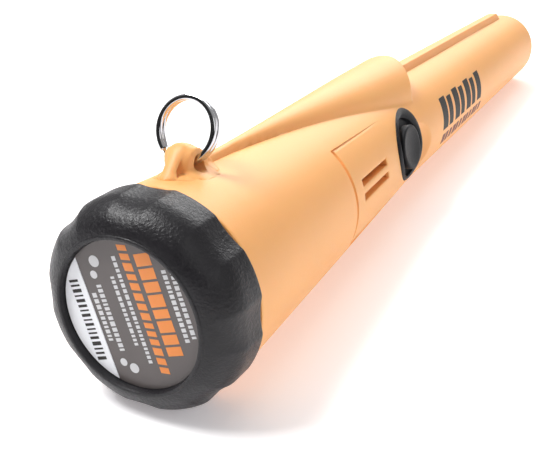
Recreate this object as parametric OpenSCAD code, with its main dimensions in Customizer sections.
// Handheld pinpointer probe: a tapered waterproof wand with a search coil in its tip,
// a speaker panel, a push button, a lamp hood, a lanyard ring and a screw-on battery cap.
// Every piece is drawn about the probe's own axis (+X to the tip, x = 0 at the cap's end),
// and lay() then sets the whole probe down on two lobes of the cap and on the tip.

/* [Body] */
// Length of the whole probe, end of cap to tip
total_length = 229; // [215:1:240]
// Radius of the housing just ahead of the cap
rear_r = 18.3; // [17.8:0.1:18.6]
// Radius of the housing where the speaker panel starts
waist_r = 15.9; // [15.7:0.1:16.4]
// Radius of the housing at the knee, where the probe starts
knee_r = 13.14; // [12.8:0.1:13.6]
// Radius that the probe's taper would have at the very end
tip_r = 11.15; // [10.5:0.1:12]
// Rounding of the tip's edge
tip_round = 6; // [4:0.5:7]
// Wall thickness of the housing
wall = 2.4; // [2.1:0.1:2.6]

/* [Battery cap] */
// Largest radius of the cap
cap_r = 19; // [18.8:0.1:20]
// Length of the cap
cap_length = 11; // [10:0.5:12]
// Rounding of the cap's rim
cap_round = 6.6; // [5.5:0.1:7]
// Number of finger scallops around the cap
scallop_count = 8; // [8:2:12]
// Depth of a scallop at the front edge
scallop_depth = 0.65; // [0.5:0.05:1]
// Radius of the recess for the label
label_r = 13.3; // [12:0.1:13.5]

/* [Layout] */
// Clock of the lug, hood and blade, in degrees from straight up towards +Y
top_clock = 5; // [0:1:20]
// Clock of the button and the speaker panel
side_clock = -78; // [-85:1:-60]
// Distance of the button from the cap's end
button_x = 93; // [92:0.5:94]
// Distance of the lug's hole from the cap's end
lug_x = 21.5; // [18:0.5:23]
// Distance of the hood's front face from the cap's end
hood_front_x = 109; // [105:0.5:111]

/* [Lanyard ring] */
// Outer radius of the ring
ring_outer_r = 6; // [5.5:0.1:7]
// Radial thickness of the ring's strip
ring_strip = 1; // [0.8:0.1:1.2]
// Lean of the ring towards the tip
ring_lean = 20; // [0:5:60]

/* [Hidden] */

smooth = 96;
fit_gap = 0.3;
seam_gap = 0.1;

// Outline of the housing: where each straight taper starts
shoulder_x = cap_length + fit_gap;
waist_x = 55;
knee_x = 101;
neck_start_x = 4.1;
neck_r = 15.9;
bore_r = 16.4;
chamber_start_x = 54;
chamber_end_x = total_length - 6;
function mix(a, b, t) = a + (b - a) * t;
function outer_r(x) =
    x < waist_x ? mix(rear_r, waist_r, (x - shoulder_x) / (waist_x - shoulder_x)) :
    x < knee_x ? mix(waist_r, knee_r, (x - waist_x) / (knee_x - waist_x)) :
    mix(knee_r, tip_r, (x - knee_x) / (total_length - knee_x));
function arc(centre, r, from, to, steps = 10) =
    [for (i = [0:steps]) centre + r * [cos(mix(from, to, i / steps)), sin(mix(from, to, i / steps))]];

// Cap rim, lip and front corner
cap_floor_x = 1.5;
cap_wall_end_x = 3;
lip_width = 0.8;
cap_corner = 0.5;
rim_centre = [cap_r - cap_round, cap_round];
rim_from = -acos((label_r + lip_width - rim_centre[0]) / cap_round);
scallop_r = 17;
scallop_offset = cap_r - scallop_depth + scallop_r;
ridge_angle = acos((cap_r * cap_r + scallop_offset * scallop_offset - scallop_r * scallop_r)
    / (2 * cap_r * scallop_offset));
oring_x = 9.3;
oring_r = 0.6;
oring_ring_r = 16.55;
sticker_clock = 108;
sticker_chord = 7.16;

// Rest: the cap's two lowest ridges and the tip's rounding touch the floor
tip_centre = [outer_r(total_length - tip_round) - tip_round, total_length - tip_round];
ridge = cos(ridge_angle);
cap_touch = [(cap_r - cap_corner) * ridge, cap_length - cap_corner];
reach = norm(tip_centre - cap_touch);
rest_tilt = atan((cap_touch[0] - tip_centre[0]) / (tip_centre[1] - cap_touch[1]))
    + asin((cap_corner * ridge - tip_round) / reach);
lift = tip_centre[1] * sin(rest_tilt) + tip_centre[0] * cos(rest_tilt) + tip_round;
low_end = -(label_r + lip_width) * sin(rest_tilt);
high_end = tip_centre[1] * cos(rest_tilt) + tip_centre[0] * sin(rest_tilt) + tip_round;
shift = -(low_end + high_end) / 2;

// Battery and its pocket
battery_size = [46.4, 17.2, 26.2];
battery_round = 2.5;
battery_x = 4.2;
battery_gap = 0.2;
terminal_length = 2.1;
contact_board_x = battery_x + battery_size[0] + terminal_length + 0.9;

// Speaker, its cover and its slots
cover_from_x = 55.5;
cover_to_x = 83;
cover_half_angle = 40;
cover_depth = 1.2;
speaker_x = 68.8;
speaker_r = 8.4;
speaker_low = 4;
speaker_high = 8.2;
gasket_thick = 0.8;
slot_from_x = 61;
slot_to_x = 76.5;
slot_width = 1.5;
slot_pitch = 3;

// Button, its boot and its switch
boot_r = 8.6;
boot_ahead = 0.6;
boot_proud = 0.4;
boot_floor = 11.2;
moat_r = 6;
button_r = 5;
button_low = 12.3;
dish_r = 20;
dish_depth = 0.5;
stem_r = 2;
button_travel = 1;
scoop_r = 22;
scoop_depth = 1.9;
scoop_x = 101;
scoop_clock = -88;
board_top = 1.6;
board_thick = 1.6;
board_half = 9.6;
board_from_x = 58;
board_to_x = 112;
switch_high = 5.2;
plunger_high = 6.4;

// Lamp hood, lug, ring and blade
hood_rear_x = 35;
hood_rear_r = 0.9;
hood_rear_z = 17.7;
hood_front_r = 9.6;
hood_front_z = 9.2;
lamp_z = 14.3;
lens_r = 2.6;
lug_z = 19.2;
lug_hole_r = 1.6;
lug_round = 4;
lug_half = 2;
lug_from_x = 12;
lug_to_x = 40;
ring_width = 1.9;
blade_from_x = 112;
blade_to_x = 217;
blade_half = 1.6;
blade_height = 2;

// Search coil
rod_from_x = 130;
rod_to_x = 218;
rod_r = 4;
bobbin_r = 5.2;
flange_r = 8.2;
winding_r = 7.4;
flange_width = 1.2;
flange_xs = [132, 144, 178, 204, 216];

// Vibration motor
motor_x = 84;
motor_length = 11;
motor_r = 3.2;
motor_side = -4.8;
weight_gap = 0.5;
weight_length = 4;
weight_r = 2.8;

module lay() translate([shift, 0, lift]) rotate([0, rest_tilt, 0]) children();
module clocked(clock) rotate([-clock, 0, 0]) children();
module turned() rotate([0, 90, 0]) rotate_extrude($fn = smooth) children();
module rod(x, r, length) translate([x, 0, 0]) rotate([0, 90, 0]) cylinder(r = r, h = length, $fn = 64);
module post(x, side, r, from, to) translate([x, side, from]) cylinder(r = r, h = to - from, $fn = 64);
module block(from, to) translate(from) cube(to - from);
module tube(x, r_in, r_out, length) difference() {
    rod(x, r_out, length);
    rod(x - 1, r_in, length + 2);
}

module rounded_bar(x, length, size, r) translate([x, 0, 0]) rotate([90, 0, 90])
    linear_extrude(length) {
        square([size[0] - 2 * r, size[1]], center = true);
        square([size[0], size[1] - 2 * r], center = true);
        for (side = [-1, 1], up = [-1, 1])
            translate([side * (size[0] / 2 - r), up * (size[1] / 2 - r)]) circle(r = r, $fn = 48);
    }

// Solid of revolution that follows the housing's outline, grown by extra
module wand_outline(extra, from_x, to_x) turned()
    polygon([[0, from_x], [outer_r(from_x) + extra, from_x],
        if (from_x < knee_x && to_x > knee_x) [knee_r + extra, knee_x],
        [outer_r(to_x) + extra, to_x], [0, to_x]]);

// Wedge of the probe between two clocks, for the speaker cover and its seat
module cover_wedge(half_angle, from_x, to_x) clocked(side_clock)
    rotate([0, 90, 0]) rotate([0, 0, 180 - half_angle])
        rotate_extrude(angle = 2 * half_angle, $fn = smooth)
            polygon([[2, from_x], [25, from_x], [25, to_x], [2, to_x]]);

module boot_outline(grow) translate([boot_ahead, 0]) circle(r = boot_r + grow, $fn = 128);

module wand_skin() turned() polygon(concat(
    [[0, neck_start_x], [neck_r, neck_start_x], [neck_r, shoulder_x], [rear_r, shoulder_x],
        [waist_r, waist_x], [knee_r, knee_x]],
    arc(tip_centre, tip_round, 0, 90),
    [[0, total_length]]));

module chamber() turned() polygon([[0, chamber_start_x], [outer_r(chamber_start_x) - wall, chamber_start_x],
    [knee_r - wall, knee_x], [outer_r(chamber_end_x) - wall, chamber_end_x], [0, chamber_end_x]]);

module hood() clocked(top_clock)
    translate([hood_rear_x, 0, hood_rear_z])
        rotate([0, 90 + atan((hood_rear_z - hood_front_z) / (hood_front_x - hood_rear_x)), 0])
            cylinder(r1 = hood_rear_r, r2 = hood_front_r,
                h = norm([hood_front_x - hood_rear_x, hood_rear_z - hood_front_z]), $fn = smooth);

module lug() clocked(top_clock) translate([0, lug_half, 0]) rotate([90, 0, 0])
    linear_extrude(2 * lug_half) {
        translate([lug_x, lug_z]) circle(r = lug_round, $fn = 64);
        polygon([[lug_from_x, 14], [lug_from_x, outer_r(lug_from_x) - 0.3],
            [lug_x - lug_round * cos(35), lug_z + lug_round * sin(35)],
            [lug_x + lug_round * cos(50), lug_z + lug_round * sin(50)],
            [lug_to_x - 7, outer_r(lug_to_x) + 1.9], [lug_to_x, outer_r(lug_to_x) - 0.3],
            [lug_to_x, 14]]);
    }

module blade() clocked(top_clock) translate([0, blade_half, 0]) rotate([90, 0, 0])
    linear_extrude(2 * blade_half)
        polygon([[blade_from_x, 8], [blade_from_x, outer_r(blade_from_x)],
            [blade_from_x + 3, outer_r(blade_from_x + 3) + blade_height],
            [blade_to_x - 4, outer_r(blade_to_x) + blade_height],
            [blade_to_x, outer_r(blade_to_x)], [blade_to_x, 8]]);

module housing() color("darkorange") lay() difference() {
    union() {
        wand_skin();
        hood();
        lug();
        difference() {
            blade();
            rod(blade_from_x - 1, 9, blade_to_x - blade_from_x + 2);
        }
    }
    chamber();
    clocked(side_clock) rounded_bar(neck_start_x - 1, chamber_start_x - neck_start_x + 4,
        [battery_size[1] + 2 * battery_gap, battery_size[2] + 2 * battery_gap], battery_round + battery_gap);
    // Lug hole
    clocked(top_clock) translate([lug_x, 0, lug_z]) rotate([90, 0, 0])
        cylinder(r = lug_hole_r, h = 20, center = true, $fn = 64);
    // Lens bore and the wire way below it
    clocked(top_clock) translate([0, 0, lamp_z]) rod(hood_front_x - 9, lens_r + seam_gap, 20);
    clocked(top_clock) block([hood_front_x - 9, -1.5, 6], [hood_front_x - 5, 1.5, lamp_z]);
    // Seat and window of the speaker cover
    difference() {
        cover_wedge(cover_half_angle, cover_from_x, cover_to_x);
        wand_outline(-cover_depth, cover_from_x - 1, cover_to_x + 1);
    }
    cover_wedge(cover_half_angle - 6, cover_from_x + 2, cover_to_x - 2);
    // Opening of the button boot and the thumb scoop ahead of it
    clocked(side_clock) translate([button_x, 0, 4]) linear_extrude(20) boot_outline(seam_gap);
    clocked(scoop_clock) translate([scoop_x, 0, outer_r(scoop_x) - scoop_depth + scoop_r])
        sphere(r = scoop_r, $fn = 128);
}

module speaker_cover() color("orange") lay() difference() {
    intersection() {
        cover_wedge(cover_half_angle - 0.4, cover_from_x + seam_gap, cover_to_x - seam_gap);
        difference() {
            wand_outline(0, cover_from_x - 1, cover_to_x + 1);
            wand_outline(seam_gap - cover_depth, cover_from_x - 2, cover_to_x + 2);
        }
    }
    for (side = [-1, 1])
        clocked(side_clock) translate([0, side * slot_pitch / 2, 0])
            block([slot_from_x, -slot_width / 2, 5], [slot_to_x, slot_width / 2, 25]);
}

module speaker_gasket() color("dimgray") lay() clocked(side_clock) difference() {
    post(speaker_x, 0, speaker_r, speaker_high, speaker_high + gasket_thick);
    post(speaker_x, 0, speaker_r - 1.6, speaker_high - 1, speaker_high + 3);
}

module speaker() color("silver") lay() clocked(side_clock) difference() {
    union() {
        post(speaker_x, 0, speaker_r, speaker_low + 1.6, speaker_high);
        post(speaker_x, 0, speaker_r - 3, speaker_low, speaker_high - 1);
    }
    post(speaker_x, 0, speaker_r - 1.2, speaker_high - 0.8, speaker_high + 1);
}

module button_boot() color("black") lay() difference() {
    intersection() {
        clocked(side_clock) translate([button_x, 0, boot_floor - 1]) linear_extrude(10) boot_outline(0);
        wand_outline(boot_proud, cover_to_x, knee_x + 3);
    }
    clocked(side_clock) post(button_x, 0, moat_r, boot_floor, 30);
    clocked(side_clock) post(button_x, 0, stem_r + fit_gap, 0, 30);
}

// The button's top is dished, and its stem reaches through the boot's floor to the switch
module button() color("black") lay() clocked(side_clock) difference() {
    union() {
        post(button_x, 0, button_r, button_low, outer_r(button_x) + boot_proud);
        post(button_x, 0, stem_r, plunger_high, button_low + 0.5);
    }
    translate([button_x, 0, outer_r(button_x) + boot_proud - dish_depth + dish_r])
        sphere(r = dish_r, $fn = 128);
}

module tactile_switch() color("dimgray") lay() clocked(side_clock) difference() {
    block([button_x - 3, -3, board_top], [button_x + 3, 3, switch_high]);
    post(button_x, 0, 1.8, board_top + 1, switch_high + 1);
}

module switch_plunger() color("ivory") lay() clocked(side_clock)
    post(button_x, 0, 1.5, switch_high - 1.4, plunger_high - 0.05);

module battery_cap() color("dimgray") lay() difference() {
    turned() polygon(concat(
        [[label_r, 0], [label_r + lip_width, 0]],
        arc(rim_centre, cap_round, rim_from, 0),
        arc([cap_r - cap_corner, cap_length - cap_corner], cap_corner, 0, 90, 4),
        [[bore_r, cap_length], [bore_r, oring_x + 0.7], [bore_r + 0.8, oring_x + 0.7],
            [bore_r + 0.8, oring_x - 0.7], [bore_r, oring_x - 0.7],
            [bore_r, cap_wall_end_x], [0, cap_wall_end_x], [0, cap_floor_x], [label_r, cap_floor_x]]));
    for (i = [0:scallop_count - 1])
        clocked(i * 360 / scallop_count) translate([0, 0, scallop_offset]) rod(-1, scallop_r, cap_length + 2);
}

module cap_oring() color("black") lay() turned()
    translate([oring_ring_r, oring_x]) circle(r = oring_r, $fn = 32);

module cap_label() color("gray") lay() rod(cap_floor_x - 0.15, label_r - 0.2, 0.15);

module serial_sticker() color("white") lay() clocked(sticker_clock) intersection() {
    rod(cap_floor_x - 0.27, label_r - 0.3, 0.12);
    block([0, -label_r, sticker_chord], [cap_floor_x, label_r, label_r]);
}

module cap_foam_pad() color("dimgray") lay() rod(cap_wall_end_x, 11, battery_x - cap_wall_end_x - 0.1);

module battery() color("goldenrod") lay() clocked(side_clock)
    rounded_bar(battery_x, battery_size[0], [battery_size[1], battery_size[2]], battery_round);

// One stud and one socket, 12.7 mm apart
module battery_terminals() color("silver") lay() clocked(side_clock) {
    translate([0, 0, 6.35]) rod(battery_x + battery_size[0], 2.8, terminal_length);
    translate([0, 0, -6.35]) tube(battery_x + battery_size[0], 3, 4.2, terminal_length);
}

module contact_board() color("darkgreen") lay() clocked(side_clock)
    rounded_bar(contact_board_x, board_thick, [battery_size[1], battery_size[2]], battery_round);

module contact_snaps() color("silver") lay() clocked(side_clock) {
    translate([0, 0, 6.35]) tube(contact_board_x - 2.8, 3, 4.2, 2.8);
    translate([0, 0, -6.35]) rod(contact_board_x - 2.8, 2.8, 2.8);
}

// Open frame that carries the main board, with a foot at each end
module board_frame() color("dimgray") lay() clocked(side_clock) {
    for (side = [-1, 1])
        block([board_from_x, side * 8.4 - 1, -2.4], [board_to_x, side * 8.4 + 1, board_top - board_thick]);
    for (x = [board_from_x, board_to_x - 3])
        block([x, -8.4, -2.4], [x + 3, 8.4, board_top - board_thick]);
}

module main_board() color("darkgreen") lay() clocked(side_clock) difference() {
    block([board_from_x, -board_half, board_top - board_thick], [board_to_x, board_half, board_top]);
    for (x = [board_from_x + 1.5, board_to_x - 1.5], side = [-1, 1])
        post(x, side * 7.5, 0.9, -3, 6);
}

module processor() color("black") lay() clocked(side_clock)
    block([100, -3.5, board_top], [107, 3.5, board_top + 1.2]);

module capacitors() color("steelblue") lay() clocked(side_clock)
    for (side = [-6.6, 6.6]) post(84, side, 2.4, board_top, board_top + 4.6);

module board_screws() color("silver") lay() clocked(side_clock)
    for (x = [board_from_x + 1.5, board_to_x - 1.5], side = [-1, 1]) {
        post(x, side * 7.5, 1.5, board_top, board_top + 1);
        post(x, side * 7.5, 0.8, board_top - board_thick, board_top + 0.5);
    }

module vibration_motor() color("silver") lay() clocked(side_clock) translate([0, 0, motor_side]) {
    rod(motor_x, motor_r, motor_length);
    rod(motor_x + motor_length, 0.5, weight_gap + weight_length);
}

// Half disc that hangs heavy side down on the motor's shaft
module motor_weight() color("silver") lay() difference() {
    translate([0, motor_side * sin(side_clock), motor_side * cos(side_clock)]) difference() {
        rod(motor_x + motor_length + weight_gap, weight_r, weight_length);
        rod(motor_x, 0.55, motor_length + weight_gap + weight_length + 1);
        block([motor_x, -5, 1.2], [motor_x + 30, 5, 8]);
    }
}

module led_lens() color("white") lay() clocked(top_clock) translate([0, 0, lamp_z])
    rod(hood_front_x - 2.5, lens_r, 2.5);

module led() color("ivory") lay() clocked(top_clock) translate([0, 0, lamp_z]) {
    rod(hood_front_x - 7, 1.5, 4);
    rod(hood_front_x - 7.6, 1.9, 0.6);
}

module led_board() color("darkgreen") lay() clocked(top_clock) translate([0, 0, lamp_z])
    rod(hood_front_x - 8.6, 2.4, 1);

module ferrite_rod() color("dimgray") lay() rod(rod_from_x, rod_r, rod_to_x - rod_from_x);

module coil_bobbin() color("ivory") lay() difference() {
    union() {
        rod(flange_xs[0], bobbin_r, flange_xs[4] - flange_xs[0]);
        for (x = flange_xs) rod(x - flange_width / 2, flange_r, flange_width);
    }
    rod(rod_from_x, rod_r + 0.05, rod_to_x - rod_from_x);
}

module winding(i) color("peru") lay()
    tube(flange_xs[i] + flange_width / 2 + 0.05, bobbin_r + 0.05, winding_r,
        flange_xs[i + 1] - flange_xs[i] - flange_width - 0.1);
module receive_winding_rear() winding(0);
module transmit_winding() {
    winding(1);
    winding(2);
}
module receive_winding_front() winding(3);

// Foam rings that hold the coil in the middle of the probe
module coil_holder_rear() color("gray") lay() difference() {
    rod(122, outer_r(126) - wall - 0.2, 5);
    rod(121, 3, 7);
}
module coil_holder_front() color("gray") lay() difference() {
    rod(217, outer_r(222) - wall - 0.2, 5);
    rod(216, rod_r + 0.1, 2.1);
}

module coil_leads() color("firebrick") lay() for (side = [-1.2, 1.2])
    translate([0, side, 0]) rod(board_to_x + 0.2, 0.5, rod_from_x - board_to_x - 0.4);

module battery_leads() color("firebrick") lay() clocked(side_clock) for (side = [-4, 4])
    translate([0, side, 1]) rod(contact_board_x + board_thick, 0.6, board_from_x - contact_board_x - board_thick);

module lanyard_ring() color("silver") lay() clocked(top_clock) translate([lug_x, 0, lug_z])
    rotate([0, ring_lean, 0]) translate([0, 0, ring_outer_r - ring_strip / 2]) rotate([0, 90, 0])
        difference() {
            cylinder(r = ring_outer_r, h = ring_width, center = true, $fn = smooth);
            cylinder(r = ring_outer_r - ring_strip, h = ring_width + 1, center = true, $fn = smooth);
        }

housing();
speaker_cover();
speaker_gasket();
speaker();
button_boot();
button();
tactile_switch();
switch_plunger();
battery_cap();
cap_oring();
cap_label();
serial_sticker();
cap_foam_pad();
battery();
battery_terminals();
contact_board();
contact_snaps();
board_frame();
main_board();
processor();
capacitors();
board_screws();
vibration_motor();
motor_weight();
led_lens();
led();
led_board();
ferrite_rod();
coil_bobbin();
transmit_winding();
receive_winding_rear();
receive_winding_front();
coil_holder_rear();
coil_holder_front();
coil_leads();
battery_leads();
lanyard_ring();
